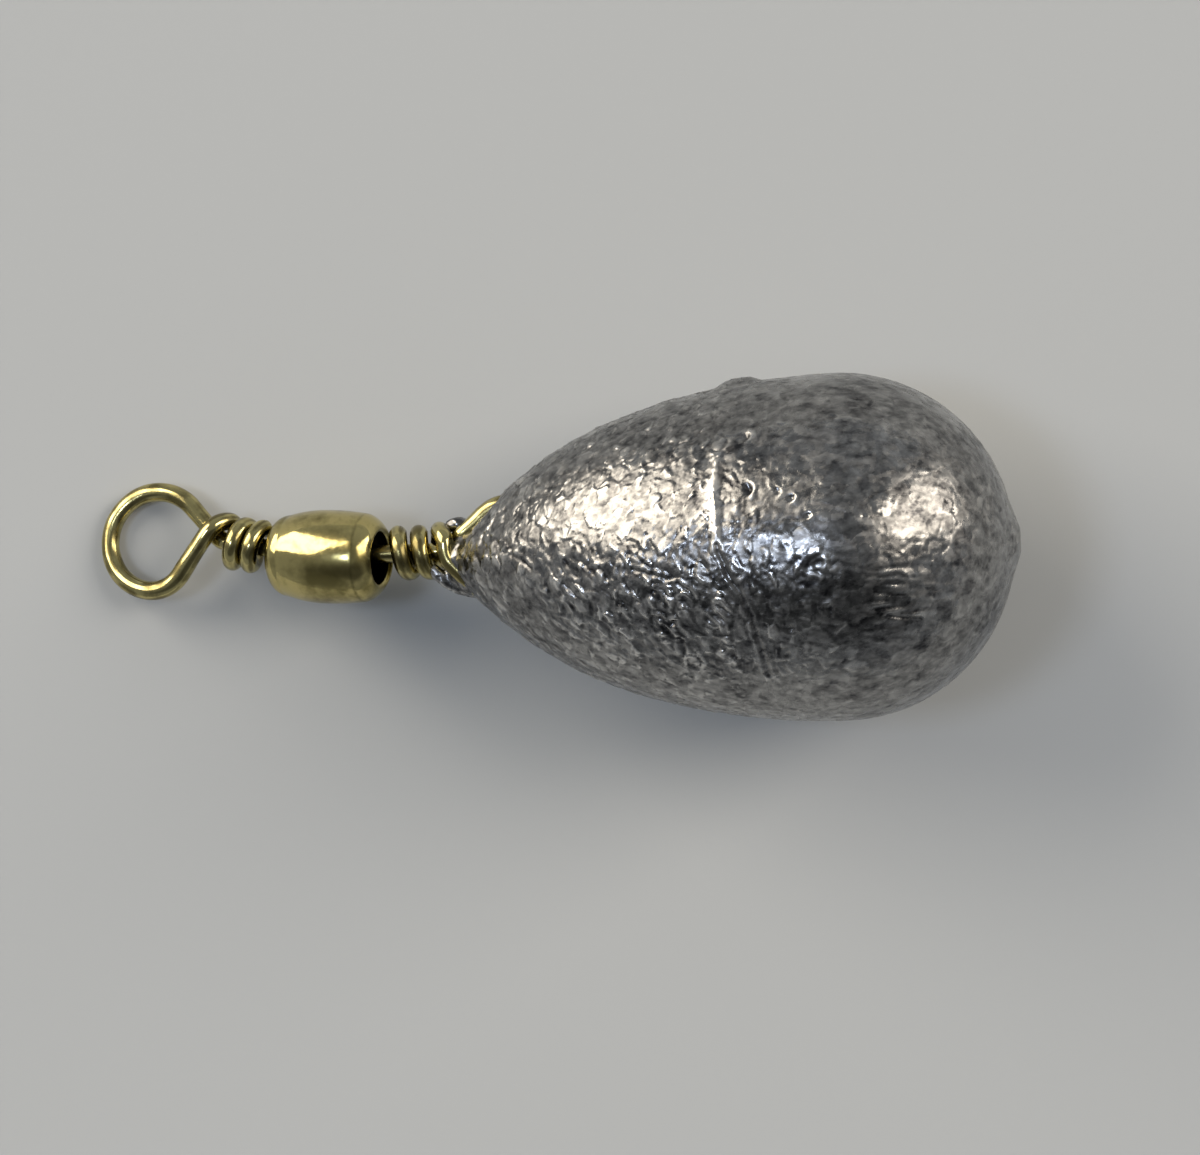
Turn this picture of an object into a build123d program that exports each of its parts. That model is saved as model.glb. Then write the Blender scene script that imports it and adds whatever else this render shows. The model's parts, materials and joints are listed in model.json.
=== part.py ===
from build123d import *
import os
from math import asin, atan2, cos, degrees, hypot, pi, radians, sin, sqrt, tan

# Casting sinker: a teardrop of cast lead with a brass barrel swivel cast into its tip.
# Four pieces: the lead, the wire eye cast into it, the swivel's barrel and the free wire eye for the line.
# It lies on its side as it was put down. +X runs from the line eye to the fat end of the lead, +Z is up,
# and the origin is under the middle of the whole sinker, on the surface that it lies on.
# Lengths are in millimetres and angles in degrees.

# Lead casting: a hemisphere at the fat end and two arcs down to the tip
lead_diameter = 14.7
lead_taper_length = 16.7
lead_tip_diameter = 1.3
lead_tip_chamfer = 0.15
flank_length_share = 0.49
flank_radius_share = 0.838
# The join line of the turned surface is put under the lead, clear of the wires
seam_turn = -90.0

# Stub at the fat end where the sprue was snipped off
gate_base_diameter = 3.6
gate_face_diameter = 1.1
gate_height = 0.22

# Two lips of lead that ran out beside the wire at the tip of the mould.
# Each starts inside the tip, at a reach back from its end, at a share of the lead's radius there,
# and runs out past the tip at a swing to the axis.
upper_lip_diameter = 0.64
upper_lip_length = 1.0
upper_lip_reach = 0.9
upper_lip_height_share = 0.6
upper_lip_swing = 30.0
lower_lip_diameter = 0.62
lower_lip_length = 1.65
lower_lip_reach = 0.95
lower_lip_height_share = -0.86
lower_lip_swing = 25.0
lip_depth_below = 0.3

# Wire of the two eyes, which are mirror twins: a loop whose end is wrapped back down its own shank
wire_diameter = 0.78
loop_radius = 2.17
loop_drop = 0.42
leg_angle = 39.0
return_angle = 62.0
bend_radius = 0.85
crossing_length = 0.25
crossing_step = 0.32
crossing_rise = 0.32
crossing_slack = 0.04
first_wrap_slack = 0.1
wrap_clearance = 0.03
line_wrap_gap = 0.06
anchor_wrap_gap = 0.13
wrap_quarters = 8
far_climb_share = 0.3
bottom_climb_share = 0.65

# Barrel: a brass sleeve with both ends swaged in over the heads of the eyes
barrel_diameter = 4.06
barrel_length = 4.95
barrel_wall = 0.4
belly_drop = 0.12
swage_length = 0.7
swage_bulge = 0.09
# Its end at the line eye was swaged rounder
line_end_drop = 0.26
line_end_bulge = 0.12
mouth_length = 0.45
mouth_round = 0.2
cavity_end_length = 0.5

# Upset head that keeps each eye in the barrel
head_clearance = 0.31
head_overlap = 0.22
head_underside_length = 0.45
head_rim_length = 0.2
head_crown = 0.2
shank_play = 0.75

# How the pieces sit together
loop_cover = 0.47
cast_clearance = 0.02
anchor_gap = 0.28
line_eye_gap = 0.28
barrel_sag = 0.14
barrel_shift = 0.1

# How the sinker lies: the lead balanced on a small worn flat on its flank, the line eye's loop on the surface
lead_tilt = 9.3
worn_depth = 0.05
barrel_tilt = 20.0
barrel_yaw = 3.5
line_eye_yaw = 10.3
floor_clearance = 0.03

# Sampling of the wire's centreline for its clearance to itself
samples_per_edge = 16
neighbour_share = 1.6

# Sizes that follow from those above
lead_radius = lead_diameter / 2
wire_radius = wire_diameter / 2
wrap_radius = wire_diameter + wrap_clearance
barrel_radius = barrel_diameter / 2
half_barrel = barrel_length / 2
cavity_radius = barrel_radius - barrel_wall
head_radius = cavity_radius - head_clearance
mouth_radius = head_radius - head_overlap
head_middle = head_underside_length + head_rim_length / 2
shank_reach = mouth_length + shank_play
line_wrap_pitch = wire_diameter + line_wrap_gap
anchor_wrap_pitch = wire_diameter + anchor_wrap_gap


def biarc(start, start_way, end, end_way):
    """Two tangent arcs that leave start along start_way and reach end along end_way."""
    span = end - start
    ways = start_way + end_way
    bend = 1 - start_way.dot(end_way)
    along = span.dot(ways)
    reach = (sqrt(along * along + 2 * bend * span.dot(span)) - along) / (2 * bend)
    first_corner = start + start_way * reach
    last_corner = end - end_way * reach
    joint = (first_corner + last_corner) / 2
    first_arc = TangentArc(start, joint, tangent=start_way)
    last_arc = TangentArc(joint, end, tangent=last_corner - first_corner)
    return [first_arc, last_arc]


def eye_lengths(wrap_pitch):
    """Places along the shank, from the underside of the head outwards."""
    wraps_end = shank_reach + wire_radius
    wraps_start = wraps_end + wrap_quarters / 4 * wrap_pitch
    corner = wraps_start + crossing_length
    leg = radians(leg_angle)
    loop_centre = corner + (loop_radius - loop_drop * cos(leg)) / sin(leg)
    return wraps_start, corner, loop_centre


def eye_path(side, wrap_pitch):
    """Centreline edges of an eye: shank, bend, loop, and wraps back down the shank.

    The shank lies on X, with the head at the origin and the loop at side * X.
    """
    wraps_start, corner, loop_centre = eye_lengths(wrap_pitch)
    leg = radians(leg_angle)
    turn_back = radians(return_angle)
    climb = wire_diameter + wrap_clearance
    slope = climb / (2 * pi * loop_radius)

    def place(along, across, up):
        return Vector(side * along, across, up)

    def way(along, across, up):
        return place(along, across, up).normalized()

    bend_trim = bend_radius * tan(leg / 2)
    bend_start = place(corner - bend_trim, 0, 0)
    bend_end = place(corner + bend_trim * cos(leg), bend_trim * sin(leg), 0)
    leg_way = way(cos(leg), sin(leg), 0)
    leg_end = place(loop_centre - loop_radius * sin(leg), loop_radius * cos(leg) - loop_drop, 0)
    edges = [Line(place(0, 0, 0), bend_start)]
    edges.append(TangentArc(bend_start, bend_end, tangent=way(1, 0, 0)))
    edges.append(Line(bend_end, leg_end))

    stations = [(leg_end, leg_way)]
    stations.append((place(loop_centre, loop_radius - loop_drop, 0), way(1, 0, 0)))
    far = place(loop_centre + loop_radius, -loop_drop, far_climb_share * climb)
    stations.append((far, way(0, -1, slope)))
    bottom = place(loop_centre, -loop_radius - loop_drop, bottom_climb_share * climb)
    stations.append((bottom, way(-1, 0, slope)))
    over = place(corner + crossing_step, crossing_rise, climb + crossing_slack)
    stations.append((over, way(-cos(turn_back), sin(turn_back), 0)))
    for quarter in range(wrap_quarters + 1):
        turn = (quarter + 1) * pi / 2
        radius = wrap_radius if quarter else wrap_radius + first_wrap_slack
        spot = place(wraps_start - quarter / 4 * wrap_pitch, radius * sin(turn), radius * cos(turn))
        spot_way = way(-wrap_pitch / (2 * pi), wrap_radius * cos(turn), -wrap_radius * sin(turn))
        stations.append((spot, spot_way))
    for (start, start_way), (end, end_way) in zip(stations, stations[1:]):
        edges += biarc(start, start_way, end, end_way)
    return edges


def tube(edges, radius):
    """Round wire of the given radius swept along the edges."""
    path = Wire(edges)
    section = Plane(origin=edges[0] @ 0, z_dir=edges[0] % 0) * Circle(radius)
    return sweep(section, path=path)


def self_gap(edges):
    """Least clear gap between stretches of the wire that aren't neighbours along it."""
    points = []
    travelled = 0
    for edge in edges:
        for step in range(samples_per_edge):
            share = step / samples_per_edge
            points.append((travelled + share * edge.length, edge @ share))
        travelled += edge.length
    apart = neighbour_share * pi * wire_diameter
    least = travelled
    for index, (place_a, point_a) in enumerate(points):
        for place_b, point_b in points[index + 1:]:
            if place_b - place_a > apart:
                least = min(least, (point_b - point_a).length)
    return least - wire_diameter


def head(side):
    """Upset head on the end of the shank: a cone under it, a rim and a low crown."""
    rim_start = -side * head_underside_length
    rim_end = rim_start - side * head_rim_length
    crown_top = rim_end - side * head_crown
    underside = Polyline((0, 0), (0, wire_radius), (rim_start, head_radius), (rim_end, head_radius))
    crown = TangentArc((crown_top, 0), (rim_end, head_radius), tangent=(0, 1, 0))
    spine = Line((crown_top, 0), (0, 0))
    return revolve(make_face([underside, crown, spine]), axis=Axis.X)


def eye(side, wrap_pitch):
    """One eye with its head, lying along X with the underside of the head at the origin."""
    edges = eye_path(side, wrap_pitch)
    wire = tube(edges, wire_radius)
    length = sum(edge.length for edge in edges)
    expected = pi * wire_radius**2 * length
    print(f"wire {length:.2f} mm long, volume {wire.volume:.4f} of {expected:.4f} mm3")
    print(f"least gap of the wire to itself {self_gap(edges):.3f} mm")
    return wire + head(side)


def barrel_half(drop, bulge):
    """Half of the sleeve along X, from its middle at the origin to its mouth."""
    crease = (half_barrel - swage_length, barrel_radius - drop)
    lip_edge = (half_barrel, mouth_radius + mouth_round)
    mouth_edge = (half_barrel - mouth_round, mouth_radius)
    mouth_inside = (half_barrel - mouth_length, mouth_radius)
    cavity_end = (half_barrel - mouth_length - cavity_end_length, cavity_radius)
    belly = TangentArc((0, barrel_radius), crease, tangent=(1, 0, 0))
    shoulder = SagittaArc(crease, lip_edge, bulge)
    lip = TangentArc(lip_edge, mouth_edge, tangent=(0, -1, 0))
    inside = Polyline(mouth_edge, mouth_inside, cavity_end, (0, cavity_radius), (0, barrel_radius))
    return revolve(make_face([belly, shoulder, lip, inside]), axis=Axis.X)


def barrel():
    """Hollow sleeve along X, centred on the origin, with its ends turned in to the mouths."""
    anchor_half = barrel_half(belly_drop, swage_bulge)
    line_half = barrel_half(line_end_drop, line_end_bulge)
    return anchor_half + mirror(line_half, about=Plane.YZ)


def lead_flank():
    """Upper outline of the lead from its widest ring to its tip: two tangent arcs in the XY plane."""
    flank_end = (-flank_length_share * lead_taper_length, flank_radius_share * lead_radius)
    tip_shoulder = (lead_tip_chamfer - lead_taper_length, lead_tip_diameter / 2)
    flank = TangentArc((0, lead_radius), flank_end, tangent=(-1, 0, 0))
    point = TangentArc(flank_end, tip_shoulder, tangent=flank % 1)
    return flank, point


def point_radius_at(reach):
    """Radius of the lead at a reach back from the end of its tip."""
    point = lead_flank()[1]
    along = reach - lead_taper_length - point.arc_center.X
    return point.arc_center.Y + sqrt(point.radius**2 - along**2)


def point_place_of(radius):
    """Place on X where the pointed part of the lead has this radius."""
    point = lead_flank()[1]
    return point.arc_center.X - sqrt(point.radius**2 - (radius - point.arc_center.Y) ** 2)


def lip_of_lead(diameter, length, reach, height_share, swing):
    """Round-ended bar of lead that starts inside the tip and runs out past it."""
    start = Vector(reach - lead_taper_length, height_share * point_radius_at(reach), -lip_depth_below)
    lean = radians(swing)
    way = Vector(-cos(lean), sin(lean), 0)
    bar = Cylinder(diameter / 2, length, align=(Align.CENTER, Align.CENTER, Align.MIN))
    end = Pos(start + way * length) * Sphere(diameter / 2)
    return Plane(origin=start, z_dir=way) * bar + end


def lead_casting():
    """The lead alone, along X with its widest ring at the origin and its tip towards -X."""
    flank, point = lead_flank()
    tip_edge = (-lead_taper_length, lead_tip_diameter / 2 - lead_tip_chamfer)
    gate_foot = (sqrt(lead_radius**2 - gate_base_diameter**2 / 4), gate_base_diameter / 2)
    gate_face = lead_radius + gate_height
    dome = TangentArc((0, lead_radius), gate_foot, tangent=(1, 0, 0))
    gate = Polyline(gate_foot, (gate_face, gate_face_diameter / 2), (gate_face, 0))
    tip = Polyline((gate_face, 0), (-lead_taper_length, 0), tip_edge, point @ 1)
    turned_lead = revolve(make_face([dome, gate, tip, point, flank]), axis=Axis.X)
    body = Rot(seam_turn, 0, 0) * turned_lead
    upper = lip_of_lead(
        upper_lip_diameter, upper_lip_length, upper_lip_reach, upper_lip_height_share, upper_lip_swing
    )
    lower = lip_of_lead(
        lower_lip_diameter, lower_lip_length, lower_lip_reach, lower_lip_height_share, lower_lip_swing
    )
    return body + upper + lower


def turned(tilt, yaw):
    """Turn that drops the -X end by the tilt and swings it towards +Y by the yaw."""
    return Rot(0, 0, -yaw) * Rot(0, -tilt, 0)


def anchor_place():
    """Place of the cast-in eye: its loop is centred on the lead's axis, where the lead just covers it."""
    loop_centre = eye_lengths(anchor_wrap_pitch)[2]
    loop_at = point_place_of(loop_radius + wire_radius + loop_cover)
    return Pos(loop_at - loop_centre, loop_drop, -wrap_radius / 2)


def lead_round_wire(in_lead):
    """The lead with room for the cast-in wire, cut one stretch of the wire after another."""
    lead = lead_casting()
    for edge in eye_path(1, anchor_wrap_pitch):
        lead -= in_lead * tube([edge], wire_radius + cast_clearance)
    return lead


def line_eye_tilt(pivot_height):
    """Tilt at which the far end of the line eye's loop lies on the surface."""
    reach = eye_lengths(line_wrap_pitch)[2] + loop_radius + head_middle
    rise = far_climb_share * wrap_radius
    drop = pivot_height - wire_radius - floor_clearance
    return degrees(asin(drop / hypot(reach, rise)) + atan2(rise, reach))


def sinker():
    """All pieces where they lie, by name, with the axes that they turn on."""
    in_lead = anchor_place()
    lead_turn = turned(lead_tilt, 0)
    whole = lead_turn * lead_round_wire(in_lead)
    bed = whole.bounding_box().min.Z + worn_depth
    lead = split(whole, bisect_by=Plane.XY.offset(bed), keep=Keep.TOP)
    lead_place = Pos(0, 0, -bed) * lead_turn

    anchor_pivot = (lead_place * in_lead * Pos(-head_middle, 0, 0)).position
    barrel_turn = turned(barrel_tilt, barrel_yaw)
    anchor_head_at = half_barrel + anchor_gap - shank_reach - head_middle
    line_head_at = -(half_barrel + line_eye_gap - shank_reach - head_middle)
    centre = (Pos(anchor_pivot) * barrel_turn * Pos(-anchor_head_at, 0, 0)).position
    barrel_place = Pos(0, -barrel_shift, -barrel_sag) * Pos(centre) * barrel_turn
    line_pivot = (Pos(centre) * barrel_turn * Pos(line_head_at, 0, 0)).position
    line_turn = turned(line_eye_tilt(line_pivot.Z), line_eye_yaw)
    line_place = Pos(line_pivot) * line_turn * Pos(-head_middle, 0, 0)

    places = {
        "lead_body": (lead, Pos(0, 0, -bed)),
        "anchor_eye": (eye(1, anchor_wrap_pitch), lead_place * in_lead),
        "swivel_barrel": (barrel(), barrel_place),
        "line_eye": (eye(-1, line_wrap_pitch), line_place),
    }
    lying = {name: place * piece for name, (piece, place) in places.items()}
    box = Compound(list(lying.values())).bounding_box()
    to_origin = Pos(-box.center().X, -box.center().Y, -box.min.Z)
    pieces = {name: to_origin * piece for name, piece in lying.items()}
    axes = {"barrel": to_origin * barrel_place, "line_eye": to_origin * line_place}
    return pieces, axes


pieces, axes = sinker()
os.makedirs("parts", exist_ok=True)
for name, piece in pieces.items():
    export_step(piece, f"parts/{name}.step")
    box = piece.bounding_box()
    print(name, len(piece.solids()), f"{piece.volume:.3f} mm3", box.min, box.max)
for name, place in axes.items():
    print(name, "turns about", place.position, "along", (place * Pos(1, 0, 0)).position - place.position)
loop_at = Pos(-eye_lengths(line_wrap_pitch)[2], -loop_drop, 0)
print("line eye's hole at", (axes["line_eye"] * loop_at).position)
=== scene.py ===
import json
from functools import partial
from math import asin, atan, atan2, cos, hypot, pi, radians, sin, sqrt, tan

import bpy
import numpy as np
from bpy.props import FloatProperty, FloatVectorProperty, IntProperty, PointerProperty
from bpy.types import Operator, Panel, PropertyGroup
from mathutils import Matrix, Quaternion, Vector, noise


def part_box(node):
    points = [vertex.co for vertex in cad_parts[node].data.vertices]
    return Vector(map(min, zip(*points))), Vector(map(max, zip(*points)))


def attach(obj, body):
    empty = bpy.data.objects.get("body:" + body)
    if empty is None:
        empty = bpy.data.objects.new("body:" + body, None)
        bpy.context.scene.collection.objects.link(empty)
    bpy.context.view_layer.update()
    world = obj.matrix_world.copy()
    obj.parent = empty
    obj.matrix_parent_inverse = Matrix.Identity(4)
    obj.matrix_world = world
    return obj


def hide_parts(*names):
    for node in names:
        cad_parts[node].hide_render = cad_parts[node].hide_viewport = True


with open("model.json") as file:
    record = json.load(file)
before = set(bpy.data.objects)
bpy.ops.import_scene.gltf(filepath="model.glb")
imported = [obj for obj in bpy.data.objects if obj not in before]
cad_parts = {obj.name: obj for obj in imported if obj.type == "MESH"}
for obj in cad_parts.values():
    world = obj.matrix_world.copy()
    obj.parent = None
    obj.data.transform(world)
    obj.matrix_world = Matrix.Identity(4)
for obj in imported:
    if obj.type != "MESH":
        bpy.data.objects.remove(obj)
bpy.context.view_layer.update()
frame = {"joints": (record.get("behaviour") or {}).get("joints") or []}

# A casting sinker: a teardrop of cast lead with a brass barrel swivel cast into its tip.
# Meshes are worked out in millimetres, each along X in its own frame, and then set in the
# row frame in metres.

bl_info = {
    "name": "Casting Sinker",
    "version": (1, 0, 0),
    "blender": (4, 5, 0),
    "location": "3D View > Sidebar > Sinker",
    "description": "Builds a lead casting sinker with its brass swivel on the packed frame",
    "category": "Add Mesh",
}

MM = 0.001
# Spacing of points along outlines and wires, and the radius that stands for a point on the axis, in mm
OUTLINE_STEP, WIRE_STEP, ON_AXIS = 0.1, 0.07, 0.01
# Sides of the turned lead blank, and rings and sides of each ball fused to it
BLANK_SIDES, BALL_RINGS, BALL_SIDES = 256, 14, 20
# Fewer points than this mean that the lead's parts did not fuse
LEAST_POINTS = 10000
# Value of the relief that marks the inside of the barrel, where the brass is painted nearly black as
# shade
DEEP_INSIDE = -2
# Sockets of a Mix node that mixes colours: the two colours, and the result
MIX_A, MIX_B, MIX_RESULT = 6, 7, 2
# The floor lies this far under the sinker, in metres, so that the two don't share a plane
FLOOR_DROP = 2e-5
# Middle of the sinker, at which the lights are aimed, in metres
LIGHT_TARGET = Vector((0.004, 0, 0.008))


def linear(code):
    """Linear colour of an sRGB hex code."""
    shares = [int(code[start:start + 2], 16) / 255 for start in (1, 3, 5)]
    return tuple(c / 12.92 if c <= 0.04045 else ((c + 0.055) / 1.055) ** 2.4 for c in shares)


def length(name, description, mm):
    """Length property whose default is given in millimetres."""
    return FloatProperty(name=name, description=description, default=mm * MM, unit="LENGTH", precision=5)


def angle(name, description, degrees):
    """Angle property whose default is given in degrees."""
    return FloatProperty(name=name, description=description, default=radians(degrees), subtype="ANGLE")


def share(name, description, value):
    """Plain share or strength property."""
    return FloatProperty(name=name, description=description, default=value)


def colour(name, description, code):
    """Colour property whose default is an sRGB hex code."""
    return FloatVectorProperty(
        name=name, description=description, default=linear(code), subtype="COLOR", size=3, min=0, max=1
    )


class LeadSettings(PropertyGroup):
    """Sizes and colours of the lead casting."""

    diameter: length("Diameter", "Widest ring of the lead", 14.7)
    taper_length: length("Taper length", "From the widest ring to the tip", 16.7)
    tip_diameter: length("Tip diameter", "Width of the tip", 1.3)
    tip_chamfer: length("Tip chamfer", "Bevel round the tip", 0.15)
    flank_length: share("Flank length", "Share of the taper that the first arc takes", 0.49)
    flank_radius: share("Flank radius", "Share of the radius where the first arc ends", 0.838)
    gate_base: length("Gate base", "Width of the sprue stub at its foot", 3.6)
    gate_face: length("Gate face", "Width of the snipped face of the stub", 1.1)
    gate_height: length("Gate height", "Height of the stub over the round end", 0.22)
    tilt: angle("Tilt", "How far the tip drops as the lead lies on its flank", 9.3)
    grid: length("Grid", "Spacing of the points on the cast skin", 0.075)
    lump_height: length("Lump height", "Height of the slow waves in the casting", 0.04)
    lump_size: length("Lump size", "Width of the slow waves", 3.2)
    crinkle_height: length("Crinkle height", "Height of the creases that the mould leaves", 0.02)
    crinkle_size: length("Crinkle size", "Width between creases", 0.5)
    facet_size: length("Facet size", "Width of the flat facets that the melt froze into", 0.62)
    facet_slope: share("Facet slope", "Slope that a facet is tipped by", 0.068)
    grain_height: length("Grain height", "Height of the finest grain", 0.006)
    streak_height: length("Streak height", "Depth of the drag marks on the round end", 0.046)
    dull: colour("Dull skin", "Oxide in the hollows", "#3E3E40")
    skin: colour("Skin", "Grey skin of the casting", "#A8A7A5")
    rubbed: colour("Rubbed metal", "Lead rubbed bright on the high spots", "#D6D4D0")


class WireSettings(PropertyGroup):
    """Sizes and colours of the two wire eyes."""

    diameter: length("Diameter", "Thickness of the wire", 0.78)
    loop_radius: length("Loop radius", "Radius of the loop's centreline", 2.17)
    loop_drop: length("Loop drop", "How far the loop hangs off the shank's line", 0.42)
    leg_angle: angle("Leg angle", "Slope of the leg that leaves the shank", 39)
    return_angle: angle("Return angle", "Slope of the wire as it crosses back", 62)
    bend_radius: length("Bend radius", "Bend at the end of the shank", 0.85)
    crossing_length: length("Crossing length", "From the wraps to the bend", 0.25)
    crossing_step: length("Crossing step", "How far past the bend the wire crosses", 0.32)
    crossing_rise: length("Crossing rise", "How far to the side the wire crosses", 0.32)
    crossing_slack: length("Crossing slack", "Room under the crossing", 0.04)
    first_slack: length("First wrap slack", "How loose the first wrap stands", 0.1)
    wrap_clearance: length("Wrap clearance", "Room between the wraps and the shank", 0.03)
    line_gap: length("Line wrap gap", "Gap between wraps of the line eye", 0.06)
    anchor_gap: length("Anchor wrap gap", "Gap between wraps of the cast-in eye", 0.13)
    quarters: IntProperty(name="Quarters", description="Quarter turns of wrap on each eye", default=8)
    far_climb: share("Far climb", "Share of the climb reached at the far side of the loop", 0.3)
    bottom_climb: share("Bottom climb", "Share of the climb reached at the bottom of the loop", 0.65)
    shank_reach: length("Shank reach", "From the head to the last wrap", 1.2)
    head_radius: length("Head radius", "Radius of the upset head", 1.32)
    head_underside: length("Head underside", "Length of the cone under the head", 0.45)
    head_rim: length("Head rim", "Thickness of the head's rim", 0.2)
    head_crown: length("Head crown", "Height of the head's crown", 0.2)
    loop_cover: length("Loop cover", "Lead over the cast-in loop where it is widest", 0.47)
    skin_cover: length("Skin cover", "Lead over the buried strand on the low side", 0.16)
    leg_out: length("Leg out", "How far outward the bare leg beside the tip is bent", 0.2)
    leg_lift: length("Leg lift", "How far up the bare leg beside the tip is bent", 0.22)
    strand_back: length("Strand back", "How far the crossing strand is bent away from the lead", 0.42)
    loop_swell: share("Loop swell", "Share by which the loop is thicker than the shank", 0.06)
    waver: length("Waver", "How uneven the drawn wire is", 0.008)
    sides: IntProperty(name="Sides", description="Points round the wire", default=48)
    bright: colour("Bright brass", "Rubbed wire", "#C4B87F")
    tarnish: colour("Tarnished brass", "Wire that hands and rubbing don't reach", "#776E48")
    # Painted shade for the heads hidden in the barrel; the wire's relief never runs low enough for it to
    # show
    inside_shade: colour("Grease", "Old grease on the hidden heads", "#2A2618")


class BarrelSettings(PropertyGroup):
    """Sizes and colours of the swivel's barrel."""

    diameter: length("Diameter", "Widest ring of the barrel", 4.06)
    length: length("Length", "Over both swaged ends", 4.95)
    wall: length("Wall", "Thickness of the sleeve", 0.4)
    belly_drop: length("Belly drop", "How far the belly falls to the end at the lead", 0.12)
    swage_length: length("Swage length", "Length of each swaged end", 0.7)
    swage_bulge: length("Swage bulge", "Bulge of the swaged end at the lead", 0.09)
    line_drop: length("Line end drop", "How far the belly falls to the end at the line eye", 0.26)
    line_bulge: length("Line end bulge", "Bulge of the swaged end at the line eye", 0.12)
    mouth_radius: length("Mouth radius", "Radius of the open mouths", 1.1)
    mouth_length: length("Mouth length", "Depth of the mouth's edge", 0.45)
    mouth_round: length("Mouth round", "Rounding of the mouth's edge", 0.2)
    cavity_end: length("Cavity end", "Length of the cone inside each end", 0.5)
    crease_depth: length("Crease depth", "Depth of the ring that the swaging tool left", 0.005)
    dent_height: length("Dent height", "Depth of the slow dents from tumbling", 0.008)
    sides: IntProperty(name="Sides", description="Points round the barrel", default=224)
    bright: colour("Bright brass", "Rubbed barrel", "#C6B87C")
    tarnish: colour("Tarnished brass", "Barrel in its hollows", "#847A4C")
    # Painted shade: nearly black, painted deep inside the barrel where shade falls
    inside_shade: colour("Grease", "Old grease inside the barrel", "#2A2618")


class StageSettings(PropertyGroup):
    """Floor, light and camera."""

    floor: colour("Floor", "Pale floor", "#B5B9BC")
    floor_size: length("Floor size", "Width of the floor", 2400)
    sky: share("Sky", "Light from low all round", 0.39)
    ceiling: share("Ceiling", "Light from overhead, as a share of that from low down", 0.62)
    shade: share("Shade", "Share of the light left in the dark part of the room", 0.36)
    key: share("Key", "Brightness of the large soft light on the left", 5.1)
    side: share("Side", "Brightness of the large soft light on the right", 5.4)
    window: share("Window", "Brightness of the small cool light overhead", 15.0)
    light_distance: length("Light distance", "From the sinker to each light", 1500)
    camera_height: length("Camera height", "Camera over the floor", 200)
    view_width: length("View width", "Width of floor that the picture takes in", 52.68)
    camera_x: length("Camera X", "Camera along the sinker", 2.0)
    camera_y: length("Camera Y", "Camera across the sinker", -0.93)
    camera_turn: angle("Camera turn", "How the picture is turned", -2.02)


def in_mm(settings, names):
    """Lengths of a property group in millimetres."""
    return [getattr(settings, name) / MM for name in names.split()]


def add_node(tree, kind, settings=(), links=()):
    """Adds a node, sets its properties or unlinked inputs by name, and links the other inputs.

    A link comes from a socket, or from the first output of a node.
    """
    made = tree.nodes.new(kind)
    for name, value in dict(settings).items():
        if isinstance(name, str) and hasattr(made, name):
            setattr(made, name, value)
        else:
            made.inputs[name].default_value = value
    for name, source in dict(links).items():
        socket = source.outputs[0] if isinstance(source, bpy.types.Node) else source
        tree.links.new(socket, made.inputs[name])
    return made


def new_material(name):
    """Empty node material, and what adds nodes to it."""
    material = bpy.data.materials.new(name)
    material.use_nodes = True
    material.node_tree.nodes.clear()
    return material, partial(add_node, material.node_tree)


def arc(start, way, end, step):
    """Points from start to end on the arc that leaves start along way, and the way it ends."""
    chord = end - start
    half = way.angle(chord)
    last_way = (2 * way.dot(chord) / chord.length_squared * chord - way).normalized()
    if half < 1e-5:
        count = max(1, round(chord.length / step))
        return [start + chord * index / count for index in range(count + 1)], last_way
    radius = chord.length / (2 * sin(half))
    axis = way.cross(chord).normalized()
    centre = start + axis.cross(way).normalized() * radius
    count = max(2, round(2 * half * radius / step))
    turns = [Quaternion(axis, 2 * half * index / count) for index in range(count + 1)]
    return [centre + turn @ (start - centre) for turn in turns], last_way


def biarc(start, start_way, end, end_way, step):
    """Points on two tangent arcs that leave start along start_way and reach end along end_way."""
    span = end - start
    ways = start_way + end_way
    bend = 1 - start_way.dot(end_way)
    along = span.dot(ways)
    reach = (sqrt(along * along + 2 * bend * span.dot(span)) - along) / (2 * bend)
    joint = (start + start_way * reach + end - end_way * reach) / 2
    first, joint_way = arc(start, start_way, joint, step)
    last, _ = arc(joint, joint_way, end, step)
    return first + last[1:]


def ring(centre, across, up, radius, sides):
    """Points of a circle, radius being one number or one for each side."""
    turn = np.linspace(0, 2 * pi, sides, endpoint=False)
    return np.array(centre) + (
        np.outer(radius * np.cos(turn), np.array(across)) + np.outer(radius * np.sin(turn), np.array(up))
    )


def skin(rings, joined_up=False):
    """Points and faces of a surface through rings, whose ends are capped or joined to each other."""
    count, sides = len(rings), len(rings[0])
    rows = np.arange(count if joined_up else count - 1)
    here = (rows[:, None] * sides + np.arange(sides)).ravel()
    beside = (rows[:, None] * sides + np.roll(np.arange(sides), -1)).ravel()
    above = sides * count
    faces = np.stack([here, beside, (beside + sides) % above, (here + sides) % above], 1).tolist()
    if not joined_up:
        faces.append(list(range(sides - 1, -1, -1)))
        faces.append(list(range(above - sides, above)))
    return np.concatenate(rings), faces


def turned_rings(profile, sides):
    """Rings of a surface turned about X from points (place, radius)."""
    across, up = Vector((0, 1, 0)), Vector((0, 0, 1))
    return [ring((place, 0, 0), across, up, radius, sides) for place, radius in profile]


def swept_rings(path, radii, sides):
    """Rings along a path, kept from twisting."""
    rings = []
    way = (path[1] - path[0]).normalized()
    across = way.orthogonal().normalized()
    for index, (point, radius) in enumerate(zip(path, radii)):
        after, before = path[min(index + 1, len(path) - 1)], path[max(index - 1, 0)]
        next_way = (after - before).normalized()
        across = way.rotation_difference(next_way) @ across
        way = next_way
        rings.append(ring(point, across, way.cross(across), radius, sides))
    return rings


def noise_at(points, size, seed):
    """Smooth noise, about -1 to 1, at each point, with features of this size."""
    places = points / size + seed * 17.31
    return np.array([noise.noise(place) for place in places.tolist()])


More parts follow.
